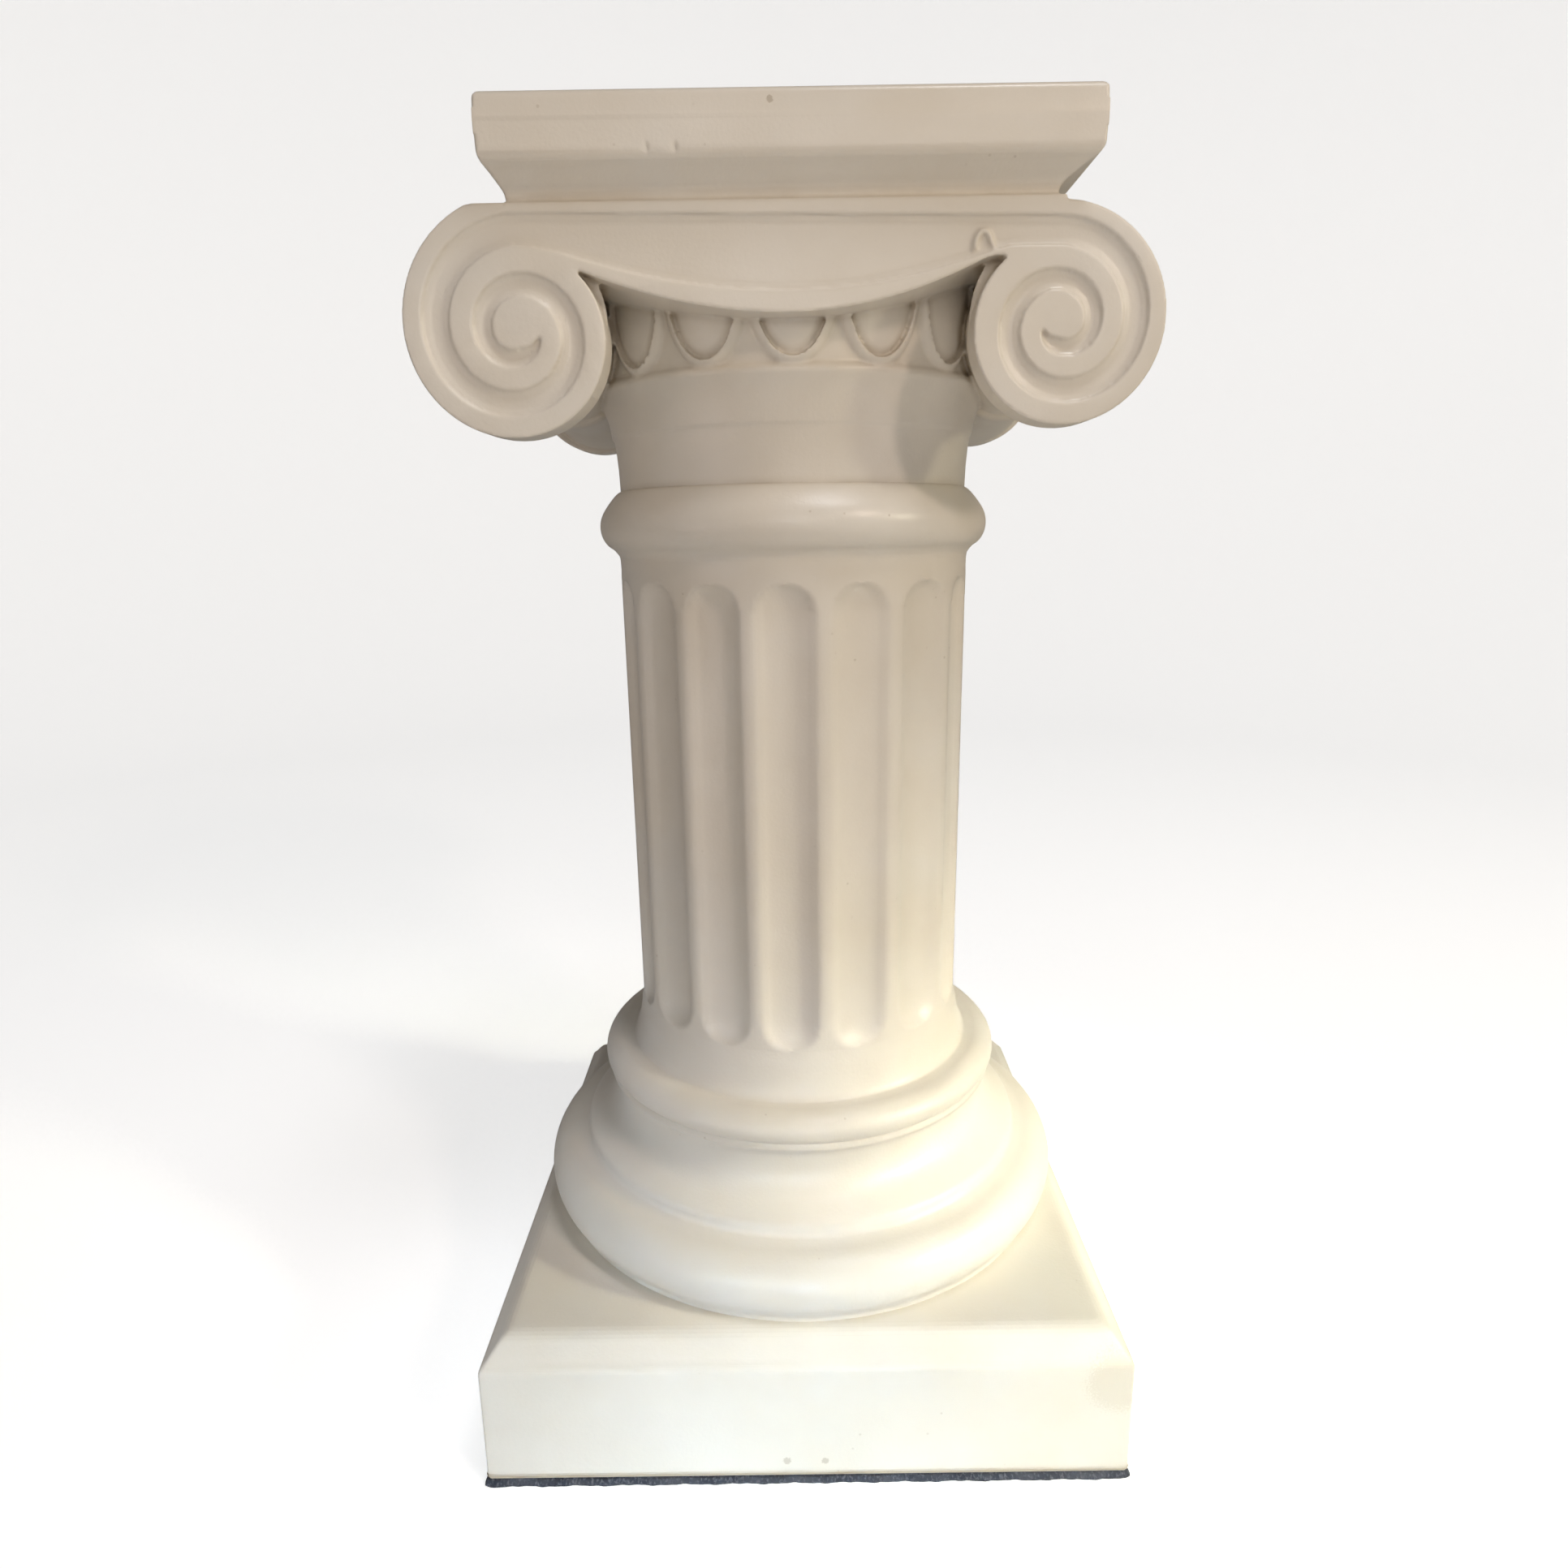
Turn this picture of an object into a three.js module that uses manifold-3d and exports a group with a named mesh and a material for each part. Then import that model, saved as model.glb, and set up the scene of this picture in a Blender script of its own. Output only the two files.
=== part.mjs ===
// A pedestal in the form of a small fluted Ionic column, cast in plaster as one piece, on a thin felt pad.
// Millimetres, +Z up, the front faces -Y. The origin is at the middle of the underside of the pad.
import * as THREE from 'three';
import { mergeVertices } from 'three/addons/utils/BufferGeometryUtils.js';
import Module from 'manifold-3d';

const wasm = await Module();
wasm.setup();

// Driving dimensions. Heights named LEVEL are above the top of the felt pad.
const PLINTH_WIDTH = 360;
const PLINTH_EDGE_LEVEL = 71;
const PLINTH_TOP_LEVEL = 86;
const PLINTH_TOP_WIDTH = 332;
const PAD_THICKNESS = 6;
const PAD_INSET = 1;
const TOUCH_GAP = 0.3;

const SHAFT_FOOT_LEVEL = 191;
const SHAFT_TOP_LEVEL = 502;
const SHAFT_RADIUS = 104;
const NECK_RADIUS = 103.3;
const ROUND_STEPS = 48;

const FLUTE_COUNT = 16;
const FLUTE_HALF_WIDTH = 15.6;
const FLUTE_DEPTH = 7;
const FLUTE_FOOT_LEVEL = 221;
const FLUTE_HEAD_LEVEL = 488;
const FLUTE_TURN = -3;

const EGG_COUNT = 16;
const EGG_LEVEL = 618;
const EGG_RING_RADIUS = 110;
const EGG_HALF_WIDTH = 15;
const EGG_HALF_HEIGHT = 23;
const EGG_DEPTH = 10;

const ABACUS_WIDTH = 280;
const ABACUS_NECK_WIDTH = 252;
const ABACUS_FOOT_LEVEL = 655;
const ABACUS_EDGE_LEVEL = 680;
const ABACUS_TOP_LEVEL = 705;

const SCROLL_TOP_LEVEL = 664;
const FACE_DEPTH = 130;
const SCROLL_THICKNESS = 20;
const SCROLL_PITCH = 23;
const SCROLL_BAND = 10;
const CHANNEL_WIDTH = 12.3;
const CHANNEL_DEPTH = 2.5;
const CHANNEL_TURNS = 1.7;
const OUTLINE_STEPS = 24;
const BACK_SCALE = 0.9;
const RIM_STEPS = 12;
const RIM_HEIGHT = 9.5;
const RIM_MIDDLE_LEVEL = 615;
const RIM_END_LEVEL = 646;
const CUSHION_RADIUS = 38;
const CUSHION_WAIST = 33;

// The two front scrolls: the middle of the eye, and the channel's outer radius at the top of its first turn.
const FRONT_SCROLLS = [
  { side: -1, x: -129.4, level: 609, channel: 49 },
  { side: 1, x: 123, level: 609.5, channel: 46.5 },
];

/** Turns a three.js geometry into a closed solid. */
function solid(geometry) {
  const bare = geometry.index ? geometry.toNonIndexed() : geometry;
  bare.deleteAttribute('normal');
  bare.deleteAttribute('uv');
  const merged = mergeVertices(bare, 1e-4);
  return new wasm.Manifold(new wasm.Mesh({
    numProp: 3,
    vertProperties: Float32Array.from(merged.attributes.position.array),
    triVerts: Uint32Array.from(merged.index.array),
  }));
}

/** Points on an elliptical arc in the profile plane, by angle in degrees. */
function arc(x, z, radiusX, radiusZ, from, to, steps) {
  return new THREE.EllipseCurve(x, z, radiusX, radiusZ, from * Math.PI / 180, to * Math.PI / 180, to < from)
    .getPoints(steps);
}

/** Points on a smooth bend between two points, pulled towards a corner. */
function bend(x0, z0, cornerX, cornerZ, x1, z1, steps) {
  return new THREE.QuadraticBezierCurve(
    new THREE.Vector2(x0, z0),
    new THREE.Vector2(cornerX, cornerZ),
    new THREE.Vector2(x1, z1),
  ).getPoints(steps);
}

/** Spins a profile of [radius, level] about the column's axis. */
function turned(profile, steps) {
  const geometry = new THREE.LatheGeometry(profile, steps);
  geometry.rotateX(Math.PI / 2);
  return geometry;
}

/** A square block from a profile of [half width, level]. */
function square(profile) {
  const corners = profile.map(([half, level]) => new THREE.Vector2(half * Math.SQRT2, level));
  const geometry = turned(corners, 4);
  geometry.rotateZ(Math.PI / 4);
  return geometry;
}

function makePlinth() {
  const half = PLINTH_WIDTH / 2;
  return solid(square([
    [0, 0],
    [half, 0],
    [half, PLINTH_EDGE_LEVEL],
    [PLINTH_TOP_WIDTH / 2, PLINTH_TOP_LEVEL],
    [0, PLINTH_TOP_LEVEL],
  ]));
}

function makeAbacus() {
  const half = ABACUS_WIDTH / 2;
  const neck = ABACUS_NECK_WIDTH / 2;
  const cavetto = bend(neck, ABACUS_FOOT_LEVEL + 10, neck + 1, ABACUS_EDGE_LEVEL - 12, half - 1, ABACUS_EDGE_LEVEL, 3);
  return solid(square([
    [0, ABACUS_FOOT_LEVEL],
    [neck, ABACUS_FOOT_LEVEL],
    ...cavetto.map((point) => [point.x, point.y]),
    [half, ABACUS_EDGE_LEVEL + 1],
    [half, ABACUS_TOP_LEVEL],
    [0, ABACUS_TOP_LEVEL],
  ]));
}

/** Attic base, shaft, astragal, necking and echinus, as one turned body. */
function makeColumn() {
  const point = (radius, level) => new THREE.Vector2(radius, level);
  const profile = [
    point(0, PLINTH_TOP_LEVEL - 10),
    point(150, PLINTH_TOP_LEVEL - 10),
    ...arc(149.4, 105.3, 20.7, 19.4, -90, 90, 6),
    point(144, 126),
    point(144, 133),
    ...bend(140, 134.5, 121, 141, 124, 167, 3),
    point(127, 169),
    ...arc(117, 181, 14, 10.5, -60, 90, 5),
    ...bend(112, SHAFT_FOOT_LEVEL, 106, SHAFT_FOOT_LEVEL + 4, SHAFT_RADIUS, SHAFT_FOOT_LEVEL + 22, 2),
    point(105, SHAFT_TOP_LEVEL),
    ...arc(105, 518, 10.8, 11.4, -70, 50, 4),
    point(107.5, 532),
    point(NECK_RADIUS, 540),
    point(105.8, 571),
    ...bend(106, 573, 107, 585, 112.5, 592, 2),
    point(112.5, 595),
    point(109, 597),
    point(113, 640),
    point(0, 640),
  ];
  return solid(turned(profile, ROUND_STEPS));
}

/** Cuts the round-ended flutes, spaced evenly round the shaft. */
function cutFlutes(column) {
  const straight = FLUTE_HEAD_LEVEL - FLUTE_FOOT_LEVEL - 2 * FLUTE_HALF_WIDTH;
  let result = column;
  for (let index = 0; index < FLUTE_COUNT; index += 1) {
    const flute = new THREE.CapsuleGeometry(FLUTE_HALF_WIDTH, straight, 3, 10);
    flute.rotateX(Math.PI / 2);
    flute.scale(1, FLUTE_DEPTH / FLUTE_HALF_WIDTH, 1);
    flute.translate(0, -SHAFT_RADIUS - 0.4, (FLUTE_FOOT_LEVEL + FLUTE_HEAD_LEVEL) / 2);
    flute.rotateZ((FLUTE_TURN / 180 + 2 * index / FLUTE_COUNT) * Math.PI);
    result = result.subtract(solid(flute));
  }
  return result;
}

/** Adds the ring of eggs, each standing half out of the echinus. */
function addEggs(column) {
  let result = column;
  for (let index = 0; index < EGG_COUNT; index += 1) {
    const egg = new THREE.SphereGeometry(1, 8, 6);
    egg.rotateX(Math.PI / 2);
    egg.scale(EGG_HALF_WIDTH, EGG_DEPTH, EGG_HALF_HEIGHT);
    egg.translate(0, -EGG_RING_RADIUS, EGG_LEVEL);
    egg.rotateZ(2 * Math.PI * index / EGG_COUNT);
    result = result.add(solid(egg));
  }
  return result;
}

/** A point on a spiral that winds inwards, after a number of turns from the top of the scroll. */
function spiralPoint(scroll, turns, offset) {
  const angle = 2 * Math.PI * turns;
  const radius = scroll.scale * (scroll.channel - SCROLL_PITCH * turns + offset);
  return new THREE.Vector2(
    scroll.x + scroll.side * radius * Math.sin(angle),
    Math.min(scroll.level + radius * Math.cos(angle), SCROLL_TOP_LEVEL),
  );
}

/** The outer outline of a scroll: its first turn, closed across. */
function scrollOutline(scroll) {
  const points = [];
  for (let step = 0; step < OUTLINE_STEPS; step += 1) {
    points.push(spiralPoint(scroll, step / OUTLINE_STEPS, SCROLL_BAND));
  }
  return new THREE.Shape(points);
}

/** One wall of a scroll's sunk channel, from the top in to where the channel runs out beside the eye. */
function channelWall(scroll, width) {
  const points = [];
  const steps = Math.round(OUTLINE_STEPS * CHANNEL_TURNS);
  for (let step = 0; step < steps; step += 1) {
    const narrowing = 1 - (step / steps) ** 3;
    points.push(spiralPoint(scroll, CHANNEL_TURNS * step / steps, -width * narrowing));
  }
  return points;
}

/** Pushes an outline in the X and Z plane back from the given front plane. */
function slab(shape, front, thickness) {
  const geometry = new THREE.ExtrudeGeometry(shape, { depth: thickness, bevelEnabled: false });
  geometry.rotateX(Math.PI / 2);
  geometry.translate(0, front + thickness, 0);
  return solid(geometry);
}

/** The sagging line of the rim between the scrolls, as a parabola through its middle and its two ends. */
function rimLine(left, right, middleLevel, leftEnd, rightEnd) {
  const points = [];
  for (let step = 1; step < RIM_STEPS; step += 1) {
    const share = 2 * step / RIM_STEPS - 1;
    const end = share < 0 ? leftEnd : rightEnd;
    const x = left.x + (right.x - left.x) * step / RIM_STEPS;
    points.push(new THREE.Vector2(x, middleLevel + (end - middleLevel) * share * share));
  }
  return points;
}

/** The block between the scrolls: flat on top, with the rim's lower edge sagging below. */
function blockShape(left, right) {
  return new THREE.Shape([
    new THREE.Vector2(left.x, SCROLL_TOP_LEVEL),
    new THREE.Vector2(left.x, RIM_END_LEVEL),
    ...rimLine(left, right, RIM_MIDDLE_LEVEL, RIM_END_LEVEL, RIM_END_LEVEL),
    new THREE.Vector2(right.x, RIM_END_LEVEL),
    new THREE.Vector2(right.x, SCROLL_TOP_LEVEL),
  ]);
}

/** The sunk channel: in from one eye, across between the fillet and the rim, and in to the other eye. */
function channelShape(left, right) {
  const leftEnd = spiralPoint(left, 0, -CHANNEL_WIDTH).y;
  const rightEnd = spiralPoint(right, 0, -CHANNEL_WIDTH).y;
  return new THREE.Shape([
    ...channelWall(left, 0).reverse(),
    ...channelWall(right, 0),
    ...channelWall(right, CHANNEL_WIDTH).reverse(),
    ...rimLine(left, right, RIM_MIDDLE_LEVEL + RIM_HEIGHT, leftEnd, rightEnd).reverse(),
    ...channelWall(left, CHANNEL_WIDTH),
  ]);
}

/** One face of the capital: the block and both scrolls, with the channel sunk into them. */
function makeFace(scrolls) {
  const [left, right] = scrolls;
  let face = slab(blockShape(left, right), -FACE_DEPTH, FACE_DEPTH + 1);
  for (const scroll of scrolls) {
    face = face.add(slab(scrollOutline(scroll), -FACE_DEPTH, SCROLL_THICKNESS));
  }
  return face.subtract(slab(channelShape(left, right), -FACE_DEPTH - 1, CHANNEL_DEPTH + 1));
}

/** The cushion that joins the front scroll to the back one on its side. */
function makeCushion(scroll) {
  const length = FACE_DEPTH - SCROLL_THICKNESS / 2;
  const half = bend(CUSHION_RADIUS, -length, CUSHION_WAIST, -length / 2, CUSHION_WAIST, -7, 4);
  const ring = arc(CUSHION_WAIST, 0, 3, 7, -90, 90, 4);
  const mirrored = half.map((point) => new THREE.Vector2(point.x, -point.y)).reverse();
  const profile = [new THREE.Vector2(0, -length), ...half, ...ring, ...mirrored, new THREE.Vector2(0, length)];
  const geometry = new THREE.LatheGeometry(profile, 20);
  geometry.translate(scroll.x, 0, scroll.level + 5);
  return solid(geometry);
}

function makeCasting() {
  const front = FRONT_SCROLLS.map((scroll) => ({ ...scroll, scale: 1 }));
  const back = FRONT_SCROLLS.map((scroll) => ({
    ...scroll,
    scale: BACK_SCALE,
    level: SCROLL_TOP_LEVEL - (SCROLL_TOP_LEVEL - scroll.level) * BACK_SCALE,
  }));
  let casting = addEggs(cutFlutes(makeColumn()));
  casting = casting.add(makePlinth()).add(makeAbacus()).add(makeFace(front));
  casting = casting.add(makeFace(back).mirror([0, 1, 0]));
  for (const scroll of front) {
    casting = casting.add(makeCushion(scroll));
  }
  return casting.translate([0, 0, PAD_THICKNESS]);
}

/** A three.js geometry with flat faces from a closed solid. */
function faceted(body) {
  const mesh = body.getMesh();
  const geometry = new THREE.BufferGeometry();
  geometry.setAttribute('position', new THREE.BufferAttribute(mesh.vertProperties, 3));
  geometry.setIndex(new THREE.BufferAttribute(mesh.triVerts, 1));
  return geometry;
}

function makePad() {
  const side = PLINTH_WIDTH - 2 * PAD_INSET;
  const height = PAD_THICKNESS - TOUCH_GAP;
  const geometry = new THREE.BoxGeometry(side, side, height);
  geometry.translate(0, 0, height / 2);
  return geometry;
}

const paint = new THREE.MeshStandardMaterial({ color: 0xddd6c8, roughness: 0.42, metalness: 0, flatShading: true });
const felt = new THREE.MeshStandardMaterial({ color: 0x3b3d42, roughness: 0.95, metalness: 0 });

const casting = new THREE.Mesh(faceted(makeCasting()), paint);
casting.name = 'pedestal_casting';

const pad = new THREE.Mesh(makePad(), felt);
pad.name = 'felt_pad';

const group = new THREE.Group();
group.add(casting, pad);
export default group;
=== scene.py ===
"""Ionic column pedestal: a cream-painted plaster casting that stands on a thin felt pad.

The casting is one piece. Its sizes are given in modules, as the sizes of a classical order are: one module
is half the width of the plinth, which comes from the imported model.
"""

from __future__ import annotations

import logging
import math
from dataclasses import dataclass, field, replace
from enum import Enum
from typing import Sequence

import bpy
from mathutils import Matrix, Vector

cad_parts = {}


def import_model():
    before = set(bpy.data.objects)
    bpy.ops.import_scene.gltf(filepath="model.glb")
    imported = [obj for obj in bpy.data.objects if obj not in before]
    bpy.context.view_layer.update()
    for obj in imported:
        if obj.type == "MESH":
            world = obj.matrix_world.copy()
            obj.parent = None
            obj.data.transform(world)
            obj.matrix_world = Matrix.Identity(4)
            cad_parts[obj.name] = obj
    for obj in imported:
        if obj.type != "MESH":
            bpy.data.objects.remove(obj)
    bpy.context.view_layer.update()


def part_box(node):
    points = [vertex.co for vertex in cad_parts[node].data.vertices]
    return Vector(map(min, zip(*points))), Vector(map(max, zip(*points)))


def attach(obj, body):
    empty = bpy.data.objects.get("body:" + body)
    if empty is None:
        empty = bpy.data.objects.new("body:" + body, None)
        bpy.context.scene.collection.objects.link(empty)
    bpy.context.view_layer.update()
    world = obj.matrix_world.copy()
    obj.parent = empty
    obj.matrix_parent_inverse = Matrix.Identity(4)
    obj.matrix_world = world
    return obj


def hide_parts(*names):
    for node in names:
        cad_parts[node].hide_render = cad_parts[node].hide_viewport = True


LOG = logging.getLogger("pedestal")
FULL_TURN = 2 * math.pi
Point = tuple[float, float]
Outline = Sequence[Point]


class Cut(Enum):
    """How one solid is combined with another."""

    JOIN = "UNION"
    CARVE = "DIFFERENCE"


class Bench:
    """The modelling steps that every piece is made with."""

    @staticmethod
    def clear() -> None:
        """Leaves edit mode and deselects everything."""
        if bpy.context.mode != "OBJECT":
            bpy.ops.object.mode_set(mode="OBJECT")
        bpy.ops.object.select_all(action="DESELECT")

    @staticmethod
    def pick(piece: bpy.types.Object) -> None:
        """Makes one object the only one selected, and the active one."""
        Bench.clear()
        piece.select_set(True)
        bpy.context.view_layer.objects.active = piece

    @staticmethod
    def edit(piece: bpy.types.Object) -> None:
        """Enters edit mode on one object, with all its points selected."""
        Bench.pick(piece)
        bpy.ops.object.mode_set(mode="EDIT")
        bpy.ops.mesh.select_mode(type="VERT")
        bpy.ops.mesh.select_all(action="SELECT")

    @staticmethod
    def done(name: str) -> bpy.types.Object:
        """Leaves edit mode, with the active mesh closed up and facing outwards, and names the object."""
        bpy.ops.mesh.select_all(action="SELECT")
        bpy.ops.mesh.remove_doubles(threshold=1e-6)
        bpy.ops.mesh.dissolve_degenerate(threshold=1e-7)
        bpy.ops.mesh.normals_make_consistent(inside=False)
        bpy.ops.object.mode_set(mode="OBJECT")
        piece = bpy.context.object
        piece.name = name
        Bench.clear()
        return piece

    @staticmethod
    def apply(piece: bpy.types.Object, kind: str, **settings: object) -> bpy.types.Object:
        """Adds a modifier to a piece, sets it and applies it.

        Args:
            piece: The object that is changed.
            kind: The modifier's type.
            **settings: Values for the modifier's own settings.

        Returns:
            The same object.
        """
        modifier = piece.modifiers.new(kind.title(), kind)
        for key, value in settings.items():
            setattr(modifier, key, value)
        Bench.pick(piece)
        bpy.ops.object.modifier_apply(modifier=modifier.name)
        Bench.clear()
        return piece

    @staticmethod
    def combine(body: bpy.types.Object, tool: bpy.types.Object, cut: Cut) -> bpy.types.Object:
        """Joins a tool to a body or carves it out of the body, and removes the tool.

        Args:
            body: The closed solid that is kept.
            tool: The closed solid that is used up.
            cut: Whether the tool is joined or carved.

        Returns:
            The body.
        """
        Bench.apply(body, "BOOLEAN", operation=cut.value, solver="MANIFOLD", object=tool)
        bpy.data.meshes.remove(tool.data)
        return body

    @staticmethod
    def gather(pieces: Sequence[bpy.types.Object], name: str) -> bpy.types.Object:
        """Puts several meshes into one object, each shell as it is."""
        Bench.pick(pieces[0])
        for piece in pieces:
            piece.select_set(True)
        bpy.ops.object.join()
        joined = bpy.context.object
        joined.name = name
        Bench.clear()
        return joined

    @staticmethod
    def copy(piece: bpy.types.Object, change: Matrix) -> bpy.types.Object:
        """A copy of a piece with its own mesh, moved or turned by a matrix."""
        twin = piece.copy()
        twin.data = piece.data.copy()
        twin.data.transform(change)
        bpy.context.collection.objects.link(twin)
        return twin

    @staticmethod
    def turned(name: str, profile: Outline, steps: int) -> bpy.types.Object:
        """Turns a profile of (radius, height) about the Z axis, as on a lathe.

        Args:
            name: The new object's name.
            profile: Points from the axis round to the axis again, in metres.
            steps: The number of steps in a full turn.

        Returns:
            The turned solid.
        """
        bpy.ops.mesh.primitive_plane_add(size=0.001)
        Bench.edit(bpy.context.object)
        bpy.ops.mesh.merge(type="CENTER")
        bpy.ops.transform.translate(value=(profile[0][0], 0, profile[0][1]))
        for (radius, height), (next_radius, next_height) in zip(profile, profile[1:]):
            step = (next_radius - radius, 0, next_height - height)
            bpy.ops.mesh.extrude_region_move(TRANSFORM_OT_translate={"value": step})
        bpy.ops.mesh.select_all(action="SELECT")
        bpy.ops.mesh.spin(steps=steps, angle=FULL_TURN, center=(0, 0, 0), axis=(0, 0, 1))
        return Bench.done(name)

    @staticmethod
    def slab(name: str, outline: Outline, front: float, depth: float) -> bpy.types.Object:
        """Pushes an outline in the X and Z plane back along Y.

        Args:
            name: The new object's name.
            outline: Points (x, z) round the outline, in metres.
            front: The Y of the front plane.
            depth: How far the outline is pushed back.

        Returns:
            The slab as a closed solid.
        """
        bpy.ops.mesh.primitive_circle_add(vertices=len(outline), radius=1, fill_type="NGON")
        for vertex, (x, z) in zip(bpy.context.object.data.vertices, outline):
            vertex.co = (x, front, z)
        Bench.edit(bpy.context.object)
        bpy.ops.mesh.extrude_region_move(TRANSFORM_OT_translate={"value": (0, depth, 0)})
        return Bench.done(name)

    @staticmethod
    def pebble(name: str, half_size: tuple[float, float, float], steps: int = 24) -> bpy.types.Object:
        """An ellipsoid of the given half sizes, round the origin."""
        bpy.ops.mesh.primitive_uv_sphere_add(segments=steps, ring_count=steps // 2, radius=1)
        Bench.edit(bpy.context.object)
        bpy.ops.transform.resize(value=half_size)
        return Bench.done(name)


@dataclass(frozen=True)
class SettingOut:
    """The module and the levels that all the sizes are measured from.

    Args:
        module: Half the width of the plinth, in metres.
        foot: The height of the plinth's underside, in metres.
        top: The height of the abacus's top, in metres.
    """

    module: float
    foot: float
    top: float

    @classmethod
    def from_frame(cls, node: str) -> SettingOut:
        """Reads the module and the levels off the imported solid."""
        low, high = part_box(node)
        return cls((high[1] - low[1]) / 2, low[2], high[2])

    def at(self, across: float, level: float) -> tuple[float, float]:
        """A point given in modules, as metres across and metres above the floor."""
        return across * self.module, self.foot + level * self.module

    def points(self, outline: Outline) -> list[tuple[float, float]]:
        """Several points given in modules, in metres."""
        return [self.at(across, level) for across, level in outline]


def arc(centre: Point, half: Point, start: float, end: float, steps: int) -> Outline:
    """Points on an elliptical arc.

    Args:
        centre: The ellipse's middle.
        half: Its half width and half height.
        start: The first angle, in degrees.
        end: The last angle, in degrees.
        steps: The number of steps between them.

    Returns:
        The points, in order.
    """
    angles = [math.radians(start + (end - start) * step / steps) for step in range(steps + 1)]
    return [(centre[0] + half[0] * math.cos(a), centre[1] + half[1] * math.sin(a)) for a in angles]


def bend(start: Point, corner: Point, end: Point, steps: int) -> Outline:
    """Points on a smooth bend from start to end, pulled towards a corner."""
    points = []
    for step in range(steps + 1):
        t = step / steps
        near, middle, far = (1 - t) ** 2, 2 * t * (1 - t), t * t
        points.append(tuple(near * a + middle * b + far * c for a, b, c in zip(start, corner, end)))
    return points


def smooth_step(value: float) -> float:
    """Goes from 0 to 1 with flat ends as the value does."""
    held = min(max(value, 0.0), 1.0)
    return held * held * (3 - 2 * held)


@dataclass
class Plinth:
    """The square block at the foot, with a sloped top edge."""

    order: SettingOut
    edge_level: float = 0.395
    top_level: float = 0.478
    top_half: float = 0.923
    softness: float = 0.02

    def build(self) -> bpy.types.Object:
        """Turns the block's profile in four steps, and rounds its four upright edges."""
        soft, edge, top, half = self.softness, self.edge_level, self.top_level, self.top_half
        profile = [
            (0, 0),
            (1 - soft, 0),
            *bend((1 - soft / 2, 0.001), (1, 0.002), (1, soft / 2), 3),
            *bend((1, edge - soft), (1, edge), (1 - 0.8 * soft, edge + 0.6 * soft), 4),
            *bend((half + soft, top - 0.9 * soft), (half, top), (half - 1.4 * soft, top), 4),
            (0, top),
        ]
        wide = [(across * math.sqrt(2), level) for across, level in profile]
        piece = Bench.turned("plinth", self.order.points(wide), 4)
        piece.data.transform(Matrix.Rotation(math.pi / 4, 4, "Z"))
        module = self.order.module
        for edge in piece.data.edges:
            one, two = (piece.data.vertices[index].co for index in edge.vertices)
            edge.select = min(abs(one.x), abs(two.x)) > 0.8 * module and (one - two).xy.length < 0.09 * module
            edge.select &= abs(one.x - two.x) < 0.09 * module and abs(one.y - two.y) < 0.09 * module
        for vertex in piece.data.vertices:
            vertex.select = False
        Bench.pick(piece)
        bpy.ops.object.mode_set(mode="EDIT")
        bpy.ops.mesh.select_mode(type="EDGE")
        bpy.ops.mesh.bevel(offset=0.55 * soft * module, segments=3, profile=0.5, affect="EDGES")
        return Bench.done("plinth")


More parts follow.
